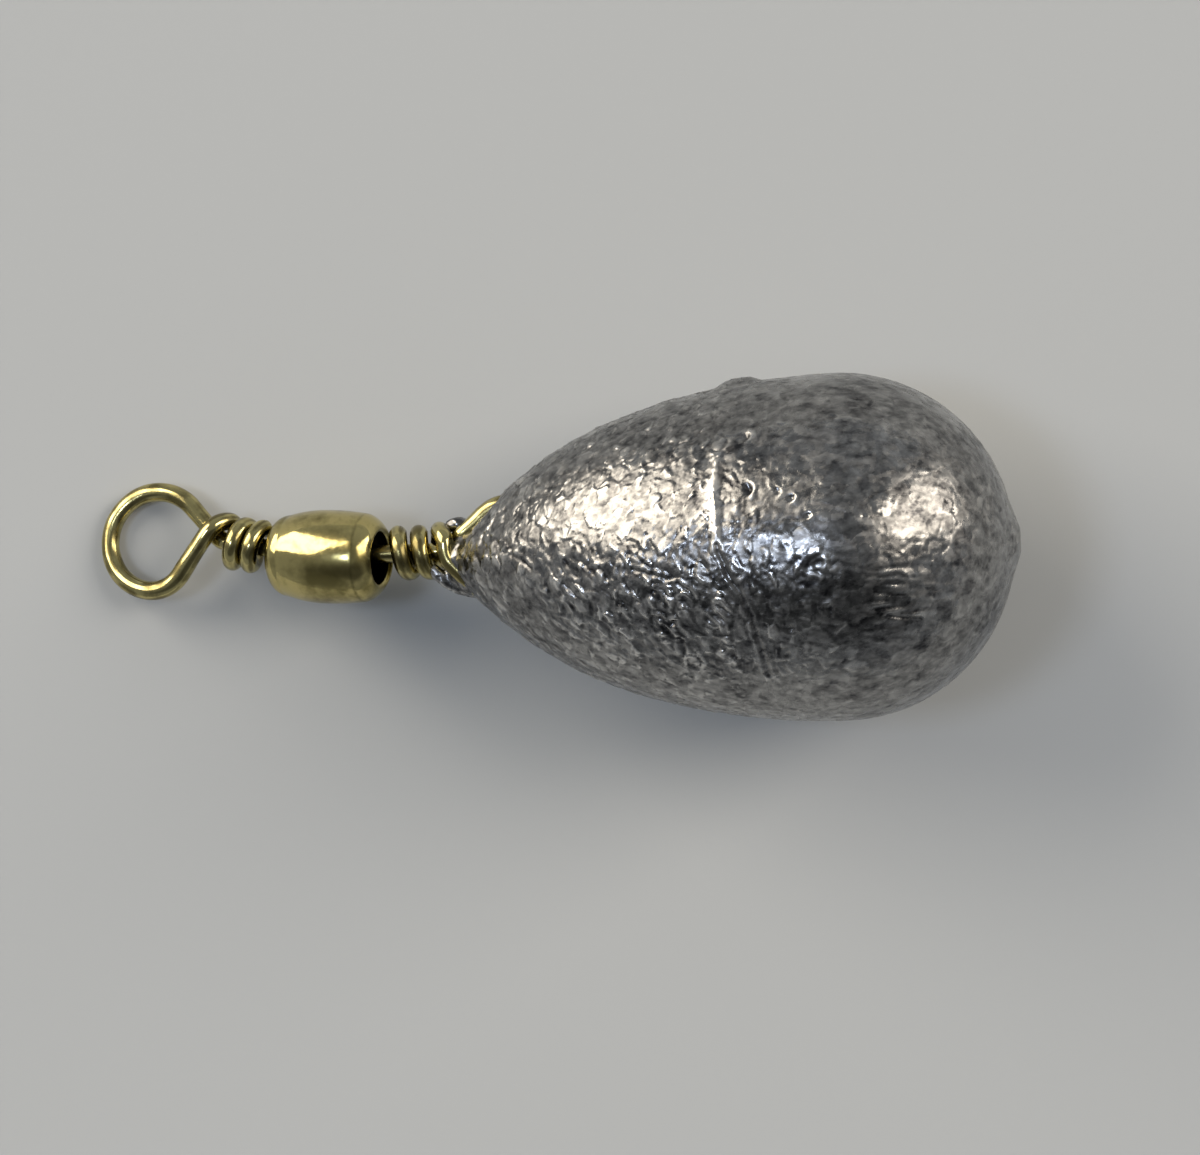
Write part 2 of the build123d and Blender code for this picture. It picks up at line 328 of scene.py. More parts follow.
def ease(values, low, high):
    """Smooth step from 0 at low to 1 at high."""
    t = np.clip((values - low) / (high - low), 0, 1)
    return t * t * (3 - 2 * t)


def bell(off, half_width):
    """Smooth hump, 1 at its middle, that falls away over this half width."""
    return np.exp(-((off / half_width) ** 2))


def new_mesh(name, points, faces):
    """Smooth-shaded mesh object from points and faces, linked to the scene."""
    mesh = bpy.data.meshes.new(name)
    mesh.from_pydata(np.asarray(points).tolist(), [], faces)
    mesh.validate()
    mesh.shade_smooth()
    made = bpy.data.objects.new(name, mesh)
    bpy.context.scene.collection.objects.link(made)
    return made


def set_piece(made, place, material, body, node):
    """Sets a piece worked out in millimetres in the row frame, in place of its CAD node."""
    made.data.transform(Matrix.Scale(MM, 4) @ place)
    made.data.materials.append(material)
    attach(made, body)
    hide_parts(node)


def joint_place(name):
    """Frame, in millimetres, of a joint whose axis is the piece's own X."""
    joint = next(joint for joint in frame["joints"] if joint["name"] == name)
    axis = Vector(joint["axis"]).normalized()
    yaw = Matrix.Rotation(atan2(axis.y, axis.x), 4, "Z")
    tilt = Matrix.Rotation(-asin(axis.z), 4, "Y")
    return Matrix.Translation(Vector(joint["pos_m"]) / MM) @ yaw @ tilt


def lead_arcs(lead):
    """Upper outline of the lead as points (place, radius) from its widest ring to its tip."""
    diameter, taper, tip, chamfer = in_mm(lead, "diameter taper_length tip_diameter tip_chamfer")
    top = Vector((0, diameter / 2, 0))
    flank_end = Vector((-lead.flank_length * taper, lead.flank_radius * diameter / 2, 0))
    shoulder = Vector((chamfer - taper, tip / 2, 0))
    flank, way = arc(top, Vector((-1, 0, 0)), flank_end, OUTLINE_STEP)
    point, _ = arc(flank_end, way, shoulder, OUTLINE_STEP)
    return [(p.x, p.y) for p in flank + point[1:]]


def lead_profile(lead):
    """Outline of the lead as points (place, radius) from the snipped gate to the tip."""
    diameter, taper, tip, chamfer = in_mm(lead, "diameter taper_length tip_diameter tip_chamfer")
    gate_base, gate_face, gate_height = in_mm(lead, "gate_base gate_face gate_height")
    radius, gate_end = diameter / 2, diameter / 2 + gate_height
    foot_angle = asin(gate_base / diameter)
    gate = [(gate_end, ON_AXIS), (gate_end, gate_face / 2)]
    gate_foot = (radius * cos(foot_angle), gate_base / 2)
    shares = np.linspace(0.1, 1, 10)
    gate += [tuple(np.array(gate[1]) * (1 - t) + np.array(gate_foot) * t) for t in shares]
    turns = np.linspace(foot_angle, pi / 2, 120)[1:-1]
    dome = [(radius * cos(turn), radius * sin(turn)) for turn in turns]
    return gate + dome + lead_arcs(lead) + [(-taper, tip / 2 - chamfer), (-taper, ON_AXIS)]


def lead_place(lead):
    """Frame of the lead, in millimetres: its widest ring at the origin and its tip towards -X."""
    outline = np.array(lead_profile(lead))
    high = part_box("lead_body")[1] / MM
    x_reach = (outline[:, 0] * cos(lead.tilt) + outline[:, 1] * sin(lead.tilt)).max()
    z_reach = (outline[:, 0] * sin(lead.tilt) + outline[:, 1] * cos(lead.tilt)).max()
    middle = Matrix.Translation((high.x - x_reach, 0, high.z - z_reach))
    return middle @ Matrix.Rotation(-lead.tilt, 4, "Y")


# Marks on the lead, as the mould and the years left them: place along the axis from the widest
# ring in mm, then the angle round it in degrees, from the top towards +Y.
RIDGE = [(-4.95, 96), (-4.7, 70), (-4.45, 44), (-4.43, 28), (-4.4, 17), (-4.36, 7), (-4.23, -1.5)]
GROOVE = [
    (-4.3, 2), (-4.23, -1.5), (-3.89, -8.2), (-3.43, -14), (-3.02, -23.7), (-2.74, -35), (-2.6, -46),
]
SCRATCHES = [
    [(2.53, -25.3), (3.77, -28.9)], [(-7.92, -6.0), (-7.2, -7.6), (-6.52, -9.4)],
    [(-6.04, -10.6), (-5.39, -15.5)], [(-4.48, -21.9), (-4.13, -27.2)], [(-5.02, -22.5), (-4.53, -26.6)],
    [(-6.87, -27.6), (-6.5, -30.8)], [(-8.65, -24.8), (-8.38, -27.0)], [(-7.33, -24.5), (-6.82, -24.5)],
    [(-9.0, -12.4), (-8.92, -18.5)], [(-4.32, -18.1), (-3.97, -21.3)], [(-6.09, -32.8), (-6.07, -38.1)],
    [(-13.4, 2.0), (-12.6, -6.0)],
]
# Pits: place, angle, radius and depth in mm
PITS = [
    (-3.1, 40.2, 0.16, 0.12), (-2.97, 19.7, 0.17, 0.14), (-1.23, 16.5, 0.14, 0.1),
    (-0.53, 10.3, 0.1, 0.08), (1.81, 9.6, 0.08, 0.06), (-0.26, -5.1, 0.3, 0.04),
    (-3.3, 29.0, 0.11, 0.06), (-1.7, 19.0, 0.12, 0.08), (-8.9, -14.0, 0.16, 0.07),
    (-6.4, -26.0, 0.13, 0.09), (-4.6, -27.5, 0.12, 0.1), (-1.44, -26.2, 0.18, 0.08),
    (-1.65, -37.1, 0.13, 0.07), (0.18, -20.5, 0.13, 0.07), (-14.3, 76.0, 0.1, 0.16),
]
# Small pits strewn over the lead: how many, and the ranges of their place, angle and radius
STREWN_PITS, STREWN_RANGES = 70, ((-15, 6.5), (-180, 180), (0.05, 0.1))
# Height and half width of the ridge in mm, and the angles between which it rises and fades
RIDGE_HEIGHT, RIDGE_WIDTH, RIDGE_RISE, RIDGE_FADE = 0.07, 0.2, (-4, 4), (20.05, 34.38)
# Depth and half width of a cut, then height, offset and half width of its lip, in mm, and the lip's side
GROOVE_CUT = (0.08, 0.1, 0.02, 0.2, 0.09, -1)
SCRATCH_CUT = (0.045, 0.08, 0.03, 0.16, 0.08, 1)
# Burr on the seam and the low swelling beside it: place, angle, height, half length, half width in mm,
# and how steeply the ends fall
SWELLINGS = [(-4.05, 88, 0.26, 0.78, 1.0, 4), (-7.1, 76, 0.1, 0.6, 1.2, 2)]
# Where the lead drew back from the wire beside the tip: start, end, angle, depth and half width
BARE_START, BARE_END, BARE_ANGLE, BARE_DEPTH, BARE_WIDTH = (-16.3, -15.8), (-15.0, -14.2), 82, 0.24, 0.6
# Lips of lead beside the wire and the rounded tip, as chains of balls: centre in the lead's frame
# and radius, in mm
LIPS = [
    [(-15.7, 0.95, -0.7, 0.4), (-16.05, 1.36, -0.42, 0.34),
     (-16.45, 1.58, -0.36, 0.35), (-16.76, 1.52, -0.34, 0.29)],
    [(-15.8, -1.3, -0.25, 0.34), (-16.4, -1.16, -0.14, 0.34), (-16.9, -0.88, -0.04, 0.35),
     (-17.3, -0.58, 0.06, 0.35), (-17.5, -0.34, 0.12, 0.28)],
    [(-16.0, 0.35, 0.05, 0.82), (-16.3, 0.05, 0.2, 0.7),
     (-16.25, -0.45, 0.15, 0.62), (-15.9, -0.9, 0.0, 0.6)],
]
BALLS_PER_LINK = 6
# Stretches over which the skin changes, each from and to. Along the axis, in mm from the widest ring:
TIP_STRETCH, BELLY_START, BELLY_END = (-14.5, -11.5), (-13.0, -11.0), (0.0, 1.5)
PAST_RIDGE, CRACKS_FADE, ROUND_END, LUMPS_FADE = (-4.4, -3.2), (-4.4, 0.0), (-4.0, 0.5), (-2.0, 1.5)
DRAG_START, DRAG_END = (1.0, 2.6), (4.2, 5.6)
# Round the axis, in degrees from the top towards the low side, -Y:
BELLY_TOP, BELLY_FOOT, SWEEP_END = (-4, 6), (38, 60), (108.86, 148.97)
DRAG_TOP, DRAG_FOOT = (1, 12), (22, 38)
# Sizes in mm: reach of the sweep, wander of marks, patches of deep creases, grain, drag marks' length,
# width and patches
SWEEP_REACH, WANDER_SIZE, PATCH_SIZE, GRAIN_SIZE = 4, 0.6, 1.7, 0.17
DRAG_LENGTH, DRAG_WIDTH, DRAG_PATCH = 0.9, 0.19, 1.4
# Numbers that scatter each facet's middle into four draws
FACET_WAVES = [[12.99, 39.35, 73.16, 26.65], [78.23, 11.14, 52.24, 93.99], [37.72, 83.16, 9.15, 61.7]]
FACET_SCATTER = 4375.8


def trail(places, radius, at):
    """Distance in mm from each point of the lead to a line over its surface, and the side it lies on."""
    least = np.full(len(at), 1e9)
    side = np.zeros(len(at))
    line = [(s, radians(turn)) for s, turn in places]
    for (s0, a0), (s1, a1) in zip(line, line[1:]):
        start = np.stack([at[:, 0] - s0, (at[:, 1] - a0) * radius], 1)
        run = np.stack([np.full(len(radius), s1 - s0), (a1 - a0) * radius], 1)
        along = np.clip((start * run).sum(1) / (run * run).sum(1), 0, 1)
        off = start - run * along[:, None]
        gap = np.hypot(off[:, 0], off[:, 1])
        nearer = gap < least
        least = np.where(nearer, gap, least)
        side = np.where(nearer, np.sign(run[:, 0] * start[:, 1] - run[:, 1] * start[:, 0]), side)
    return least, side


def facets(points, size):
    """Flat facets of about this size, each tipped its own way.

    Gives the height in mm for a slope of 1, a tone from 0 to 1 for each facet, and the
    distance to the facet's edge as a share of the size.
    """
    found = [noise.voronoi(spot) for spot in (points / size).tolist()]
    middles = np.array([spots[0] for _, spots in found])
    edge = np.array([gaps[1] - gaps[0] for gaps, _ in found])
    draws = np.abs(np.modf(np.sin(middles @ np.array(FACET_WAVES)) * FACET_SCATTER)[0])
    lean = ((2 * draws[:, :3] - 1) * (points / size - middles)).sum(1)
    return size * lean * ease(edge, 0, 0.22), draws[:, 3], edge


def on_lead(points):
    """Place along the lead's axis, angle round it from the top towards +Y, and distance from it."""
    turn = np.arctan2(points[:, 1], points[:, 2])
    return points[:, 0], turn, np.maximum(np.hypot(points[:, 1], points[:, 2]), 0.3)


def lead_grain(lead, points, wander):
    """Height of the creases, facets, grain and drag marks, and the facets' tone and gloss."""
    crinkle, crinkle_size, facet_size, grain, streak = in_mm(
        lead, "crinkle_height crinkle_size facet_size grain_height streak_height"
    )
    place, turn, radius = on_lead(points)
    low = -np.degrees(turn)
    past_ridge, round_end = ease(place, *PAST_RIDGE), ease(place, *ROUND_END)
    belly = ease(low, *BELLY_TOP) * (1 - ease(low, *BELLY_FOOT))
    belly *= ease(place, *BELLY_START) * (1 - ease(place, *BELLY_END))

    # Creases and facets sweep back from the tip on the low side, lie every way on top and run
    # along the round end. They are deepest on the belly.
    aside = SWEEP_REACH * np.tanh(np.maximum(-turn, 0) * radius / SWEEP_REACH)
    aside *= 1 - ease(low, *SWEEP_END)
    swept = points.copy()
    swept[:, 0] = (1.25 - 0.5 * round_end) * (place - 0.5 * (1 - round_end) * aside)
    swept += 0.24 * wander
    folds = np.abs(noise_at(swept, crinkle_size, 6)) - np.abs(noise_at(swept, 0.8 * crinkle_size, 7))
    folds += 0.45 * (0.3 - np.abs(noise_at(swept, 0.5 * crinkle_size, 8)))
    patchy = 0.75 + 0.5 * noise_at(points, PATCH_SIZE, 9)
    height = crinkle * folds * patchy * (1 - 0.45 * past_ridge) * (1 + 1.4 * belly)
    lean, tone, edge = facets(swept, facet_size)
    small_lean, small_tone, small_edge = facets(swept + 31.7, 0.45 * facet_size)
    facet_share = (1.6 - 0.6 * ease(place, *TIP_STRETCH) - 0.55 * past_ridge) * (1 + 1.15 * belly)
    height += lead.facet_slope * (lean + small_lean) * facet_share
    cracks = 0.014 * bell(edge, 0.07) + 0.006 * bell(small_edge, 0.1)
    height -= cracks * (1 - 0.7 * ease(place, *CRACKS_FADE))
    height += grain * noise_at(points, GRAIN_SIZE, 10)

    # Drag marks run along the axis in a patch on the low side of the round end, and faintly to the gate
    dragged = np.stack([place / DRAG_LENGTH, turn * radius / DRAG_WIDTH, 0 * place], 1)
    low_side = ease(low, *DRAG_TOP) * (1 - ease(low, *DRAG_FOOT))
    patch = (0.15 + 0.85 * low_side * (1 - ease(place, *DRAG_END))) * ease(place, *DRAG_START)
    height += streak * noise_at(dragged, 1.0, 11) * patch * (0.7 + 0.9 * noise_at(points, DRAG_PATCH, 12))
    gloss = 0.5 * np.modf(7.3 * tone)[0] + 0.5 * np.modf(7.3 * small_tone)[0]
    return height, 0.6 * tone + 0.4 * small_tone, gloss


def lead_marks(points, wander):
    """Height of the ridge and groove of a cold shut, the scratches and the pits."""
    place, turn, radius = on_lead(points)
    top = np.degrees(turn)
    at = np.stack([place + 0.05 * wander[:, 0], turn + 0.05 * wander[:, 1] / radius], 1)
    gap, _ = trail(RIDGE, radius, at)
    strength = ease(top, *RIDGE_RISE) * (1 - 0.85 * ease(top, *RIDGE_FADE))
    height = RIDGE_HEIGHT * strength * bell(gap, RIDGE_WIDTH)
    for places, cut in [(GROOVE, GROOVE_CUT)] + [(places, SCRATCH_CUT) for places in SCRATCHES]:
        depth, wide, lip, lip_off, lip_wide, lip_side = cut
        gap, side = trail(places, radius, at)
        height += lip * bell(gap - lip_off, lip_wide) * (side * lip_side > 0) - depth * bell(gap, wide)

    # Pits of trapped gas, each with a lip on one side. The strewn ones are half as deep as wide.
    draw = np.random.default_rng(7)
    strewn = [[draw.uniform(*span) for span in STREWN_RANGES] for _ in range(STREWN_PITS)]
    ragged = np.stack([place + 0.17 * wander[:, 1], turn + 0.17 * wander[:, 2] / radius], 1)
    for s, a, wide, deep in PITS + [(s, a, wide, 0.5 * wide) for s, a, wide in strewn]:
        along = ragged[:, 0] - s
        gap = np.hypot(along, (ragged[:, 1] - radians(a)) * radius)
        lip = 0.3 * deep * bell(gap - 1.5 * wide, 0.8 * wide) * ease(along, -wide, wide)
        height += lip - deep * bell(gap, wide)
    return height


def lead_relief(lead, points):
    """Height of the cast skin over the smooth shape, its fine part, and the facets' tone and gloss."""
    lump, lump_size = in_mm(lead, "lump_height lump_size")
    place, turn, radius = on_lead(points)
    height = lump * noise_at(points, lump_size, 1) + 0.4 * lump * noise_at(points, lump_size / 2.2, 2)
    height *= 1 - 0.6 * ease(place, *LUMPS_FADE)
    for s, a, high, long, wide, power in SWELLINGS:
        off = (turn - radians(a)) * radius
        height += high * np.exp(-(((place - s) / long) ** power) - (off / wide) ** 2)
    bare = ease(place, *BARE_START) * (1 - ease(place, *BARE_END))
    height -= BARE_DEPTH * bare * bell((turn - radians(BARE_ANGLE)) * radius, BARE_WIDTH)
    wander = np.stack([noise_at(points, WANDER_SIZE, seed) for seed in (3, 4, 5)], 1)
    fine, tone, gloss = lead_grain(lead, points, wander)
    fine += lead_marks(points, wander)
    return height + fine, fine, tone, gloss


def lip_balls():
    """Balls (x, y, z, radius) strung along the chains of the lips and the tip."""
    links = [link for chain in LIPS for link in zip(chain, chain[1:])]
    shares = np.linspace(0, 1, BALLS_PER_LINK)
    return [np.array(start) * (1 - t) + np.array(end) * t for start, end in links for t in shares]


def metal_surface(add, tint, rough, grit, strength, depth):
    """Ends a metal's nodes: the bump of its fine grit, so many mm deep, its shader and the output."""
    bump = add("ShaderNodeBump", {"Strength": strength, "Distance": depth * MM}, {"Height": grit})
    links = {"Base Color": tint.outputs[MIX_RESULT], "Roughness": rough, "Normal": bump}
    shader = add("ShaderNodeBsdfPrincipled", {"Metallic": 1.0}, links)
    add("ShaderNodeOutputMaterial", links={"Surface": shader})


def cast_lead(lead):
    """Cast lead, poured in a metal mould and left bare.

    A soft grey metal under a thin oxide: mottled dark and light where the melt chilled, dull
    in the hollows, with a broken shine that splits into bright flecks on the creases and
    rubbed silver on the high spots.
    """
    material, add = new_material("cast_lead_bare_oxide_skin")
    coords = add("ShaderNodeTexCoord").outputs["Object"]
    relief, facet_tone, facet_gloss = [
        add("ShaderNodeAttribute", {"attribute_name": name}).outputs["Fac"]
        for name in ("relief", "facet_tone", "facet_gloss")
    ]
    # Mottle 0.4 mm wide and drawn out along the lead, on clouds of 3 mm and the facets' own tones
    drawn_out = add("ShaderNodeVectorMath", {"operation": "MULTIPLY", 1: (0.65, 1, 1)}, {0: coords})
    blotch = {"Scale": 1 / (0.4 * MM), "Detail": 4, "Roughness": 0.64}
    tones = add("ShaderNodeTexNoise", blotch, {"Vector": drawn_out})
    cloud = {"Scale": 1 / (3.0 * MM), "Detail": 2, "Roughness": 0.5}
    clouds = add("ShaderNodeTexNoise", cloud, {"Vector": coords})
    for source, part in ((clouds, 0.4), (facet_tone, 0.28), (relief, 0.1)):
        tones = add("ShaderNodeMath", {"operation": "MULTIPLY_ADD", 1: part}, {0: source, 2: tones})
    mottle = add("ShaderNodeMapRange", {"From Min": 0.56, "From Max": 1.1}, {"Value": tones})
    colours = {"data_type": "RGBA", MIX_A: (*lead.dull, 1), MIX_B: (*lead.skin, 1)}
    grey = add("ShaderNodeMix", colours, {0: mottle}).outputs[MIX_RESULT]
    high_spots = {"From Min": 0.05, "From Max": 0.9, "To Max": 0.8}
    worn = add("ShaderNodeMapRange", high_spots, {"Value": relief})
    colours = {"data_type": "RGBA", MIX_B: (*lead.rubbed, 1)}
    tint = add("ShaderNodeMix", colours, {0: worn, MIX_A: grey})
    # Some facets froze smooth and shine, and others are dull
    gloss = {"From Min": 0.2, "From Max": 0.8, "To Min": 0.36, "To Max": 0.15}
    rough = add("ShaderNodeMapRange", gloss, {"Value": facet_gloss})
    # Grit of the mould, 0.16 mm wide, as coarse as it needs to be to show
    grain = {"Scale": 1 / (0.16 * MM), "Detail": 3, "Roughness": 0.6}
    grit = add("ShaderNodeTexNoise", grain, {"Vector": coords})
    metal_surface(add, tint, rough, grit, strength=0.3, depth=0.014)
    return material


def brass(name, finish, grain_size, rough_low, rough_high):
    """Bare brass.

    A warm, slightly green yellow metal with sharp highlights, dulled to olive brown in patches
    by handling, and painted nearly black as shade deep inside the barrel. The grain size is that
    of the marks that drawing or tumbling left, in mm.
    """
    material, add = new_material(name)
    coords = add("ShaderNodeTexCoord").outputs["Object"]
    relief = add("ShaderNodeAttribute", {"attribute_name": "relief"}).outputs["Fac"]
    # Stains 0.9 mm wide, darker in the hollows
    blotch = {"Scale": 1 / (0.9 * MM), "Detail": 5, "Roughness": 0.65}
    stain = add("ShaderNodeTexNoise", blotch, {"Vector": coords})
    hollow = add("ShaderNodeMath", {"operation": "MULTIPLY_ADD", 1: 0.5}, {0: relief, 2: stain})
    clean = add("ShaderNodeMapRange", {"From Min": 0.3, "From Max": 0.62}, {"Value": hollow})
    colours = {"data_type": "RGBA", MIX_A: (*finish.tarnish, 1), MIX_B: (*finish.bright, 1)}
    bare = add("ShaderNodeMix", colours, {0: clean}).outputs[MIX_RESULT]
    # Painted shade: the colour goes nearly black where the relief marks the inside of the barrel
    shaded_inside = add("ShaderNodeMapRange", {"From Min": -1.2, "From Max": -1.8}, {"Value": relief})
    colours = {"data_type": "RGBA", MIX_B: (*finish.inside_shade, 1)}
    tint = add("ShaderNodeMix", colours, {0: shaded_inside, MIX_A: bare})
    rough = add("ShaderNodeMapRange", {"To Min": rough_high, "To Max": rough_low}, {"Value": clean})
    grain = add("ShaderNodeTexNoise", {"Scale": 1 / (grain_size * MM), "Detail": 4}, {"Vector": coords})
    metal_surface(add, tint, rough, grain, strength=0.25, depth=0.006)
    return material


def keep_values(made, name, values):
    """Keeps a value on each point for the material."""
    made.data.attributes.new(name, "FLOAT", "POINT").data.foreach_set("value", values.astype(np.float32))


def eye_stops(wire, wrap_pitch):
    """Places along the shank from under the head: start of the wraps, corner and loop centre."""
    diameter, reach, crossing, loop, drop = in_mm(
        wire, "diameter shank_reach crossing_length loop_radius loop_drop"
    )
    wraps = reach + diameter / 2 + wire.quarters / 4 * wrap_pitch
    corner = wraps + crossing
    return wraps, corner, corner + (loop - drop * cos(wire.leg_angle)) / sin(wire.leg_angle)


def eye_path(wire, side, wrap_pitch, step):
    """Centreline of an eye from the underside of its head: shank, bend, loop and wraps."""
    diameter, loop, drop, bend = in_mm(wire, "diameter loop_radius loop_drop bend_radius")
    step_past, rise, slack, first_slack, clearance = in_mm(
        wire, "crossing_step crossing_rise crossing_slack first_slack wrap_clearance"
    )
    wraps, corner, centre = eye_stops(wire, wrap_pitch)
    leg, back, climb = wire.leg_angle, wire.return_angle, diameter + clearance
    slope = climb / (2 * pi * loop)

    def at(along, across, up):
        return Vector((side * along, across, up))

    trim = bend * tan(leg / 2)
    bend_start = at(corner - trim, 0, 0)
    bend_end = at(corner + trim * cos(leg), trim * sin(leg), 0)
    leg_way = at(cos(leg), sin(leg), 0)
    leg_end = at(centre - loop * sin(leg), loop * cos(leg) - drop, 0)
    points = arc(at(0, 0, 0), at(1, 0, 0), bend_start, step)[0]
    points += arc(bend_start, at(1, 0, 0), bend_end, step)[0][1:]
    points += arc(bend_end, leg_way, leg_end, step)[0][1:]
    stops = [(leg_end, leg_way), (at(centre, loop - drop, 0), at(1, 0, 0))]
    stops.append((at(centre + loop, -drop, wire.far_climb * climb), at(0, -1, slope)))
    stops.append((at(centre, -loop - drop, wire.bottom_climb * climb), at(-1, 0, slope)))
    stops.append((at(corner + step_past, rise, climb + slack), at(-cos(back), sin(back), 0)))
    for quarter in range(wire.quarters + 1):
        turn = (quarter + 1) * pi / 2
        radius = climb if quarter else climb + first_slack
        place = at(wraps - quarter / 4 * wrap_pitch, radius * sin(turn), radius * cos(turn))
        way = at(-wrap_pitch / (2 * pi), climb * cos(turn), -climb * sin(turn))
        stops.append((place, way))
    for (start, start_way), (end, end_way) in zip(stops, stops[1:]):
        points += biarc(start, start_way.normalized(), end, end_way.normalized(), step)[1:]
    return points


# The cast-in eye at the tip, in mm in the lead's frame: where its bare leg starts, ends and bends
# outward, where the strand in front of the tip bends back, and where the low strand is tucked in
LEG_START, LEG_END, LEG_BEND = (-16.9, -16.2), (-14.5, -13.2), (-15.8, -14.6)
STRAND_START, STRAND_END, STRAND_MIDDLE, STRAND_WIDTH = -17.5, -14.5, 0.1, 0.72
TUCK_END, TUCK_ASIDE, TUCK_ALONG = -13, (0.55, 1.2), (-16.15, -15.7)
# Distance off the shank, in mm, over which the loop comes to its full thickness
LOOP_SWELLS = (0.9, 1.6)
# Sheared end of the last wrap: distance past the path in mm, and share of the wire's radius
SHEARED_END = ((0.03, 0.97), (0.05, 0.85), (0.051, 0.05))


def under_skin(path, in_lead, lead, wire):
    """Path of the cast-in eye, its leg a little out of the lead and its low strand under the skin."""
    outline = np.array(lead_arcs(lead))[::-1]
    diameter, cover, leg_out, leg_lift, strand_back = in_mm(
        wire, "diameter skin_cover leg_out leg_lift strand_back"
    )
    kept = []
    for point in path:
        spot = in_lead @ point
        if spot.y > 0 > spot.z:
            shown = ease(spot.x, *LEG_START) * (1 - ease(spot.x, *LEG_END))
            out = leg_out * (0.35 + 0.65 * ease(spot.x, *LEG_BEND))
            spot += Vector((0, out * shown, leg_lift * shown))
        if spot.z > 0 and STRAND_START < spot.x < STRAND_END:
            spot.x -= strand_back * bell(spot.y - STRAND_MIDDLE, STRAND_WIDTH)
        if spot.y < 0 and spot.x < TUCK_END:
            surface = np.interp(spot.x, outline[:, 0], outline[:, 1])
            room = (surface - diameter / 2 - cover) / hypot(spot.y, spot.z)
            tucked = max(ease(-spot.y, *TUCK_ASIDE), ease(spot.x, *TUCK_ALONG))
            pull = 1 + (min(1, room) - 1) * tucked
            spot = Vector((spot.x, spot.y * pull, spot.z * pull))
        kept.append(in_lead.inverted() @ spot)
    return kept


def eye_mesh(name, wire, side, path):
    """One wire eye as a single closed skin, from its head's crown to the sheared end of its last wrap."""
    diameter, head, underside, rim, crown, waver = in_mm(
        wire, "diameter head_radius head_underside head_rim head_crown waver"
    )
    radius, top = diameter / 2, underside + rim
    # Head from the middle of its crown to the shank: distance back from its underside, and radius
    outline = [(top + crown, 0.02)]
    outline += [(top + up * crown, wide * head) for up, wide in ((0.93, 0.3), (0.65, 0.7), (0.2, 0.93))]
    outline += [(top - 0.04, head), (underside + 0.04, head), (underside - 0.06, 0.95 * head)]
    outline += [(t * underside, radius + (0.95 * head - radius) * t) for t in (0.7, 0.45, 0.2, 0.06)]
    radii = [wide for _, wide in outline]
    radii += [radius * (1 + wire.loop_swell * ease(hypot(p.y, p.z), *LOOP_SWELLS)) for p in path]
    radii += [wide * radius for _, wide in SHEARED_END]
    end, end_way = path[-1], (path[-1] - path[-2]).normalized()
    head_path = [Vector((-side * back, 0, 0)) for back, _ in outline]
    path = head_path + path + [end + end_way * past for past, _ in SHEARED_END]
    rings = swept_rings(path, np.array(radii), wire.sides)
    points, faces = skin(rings)
    centres = np.repeat(np.array([tuple(p) for p in path]), wire.sides, 0)
    out = points - centres
    reach = np.linalg.norm(out, axis=1)
    along = np.repeat(np.arange(len(path)) * WIRE_STEP, wire.sides)
    around = np.tile(np.linspace(0, 2 * pi, wire.sides, endpoint=False), len(path))
    # Drawing leaves the wire uneven in stretches of 3 mm, and handling in spots of 0.55 mm
    drawn = np.stack([along / 3.0, np.cos(around) * 2.2, np.sin(around) * 2.2], 1)
    uneven = noise_at(drawn, 1.0, 11 + side) + 0.7 * noise_at(points, 0.55, 12)
    rise = np.where(reach > 0.6 * radius, waver * uneven / np.maximum(reach, 1e-6), 0)
    points = points + rise[:, None] * out
    made = new_mesh(name, points, faces)
    keep_values(made, "relief", np.clip(uneven, -1, 1))
    return made


def barrel_half(barrel, drop, bulge):
    """Half the outline of the sleeve's wall as points (place, radius), from the middle out and back."""
    diameter, long, wall, swage = in_mm(barrel, "diameter length wall swage_length")
    mouth, mouth_length, mouth_round, cavity_end = in_mm(
        barrel, "mouth_radius mouth_length mouth_round cavity_end"
    )
    half, radius, cavity, step = long / 2, diameter / 2, diameter / 2 - wall, 0.035
    crease = Vector((half - swage, radius - drop, 0))
    lip = Vector((half, mouth + mouth_round, 0))
    mouth_edge = Vector((half - mouth_round, mouth, 0))
    belly, _ = arc(Vector((0, radius, 0)), Vector((1, 0, 0)), crease, step)
    chord = lip - crease
    lean = 2 * atan(2 * bulge / chord.length)
    shoulder, _ = arc(crease, Quaternion((0, 0, 1), lean) @ chord.normalized(), lip, step)
    edge, _ = arc(lip, Vector((0, -1, 0)), mouth_edge, step)
    inside = [(half - mouth_length, mouth), (half - mouth_length - cavity_end, cavity)]
    return [(p.x, p.y) for p in belly + shoulder[1:] + edge[1:]] + inside


def barrel_profile(barrel):
    """Closed outline of the sleeve's wall: the end at the line eye, then the end at the lead."""
    line_end = barrel_half(barrel, *in_mm(barrel, "line_drop line_bulge"))
    lead_end = barrel_half(barrel, *in_mm(barrel, "belly_drop swage_bulge"))
    return [(-place, radius) for place, radius in reversed(line_end[1:])] + lead_end


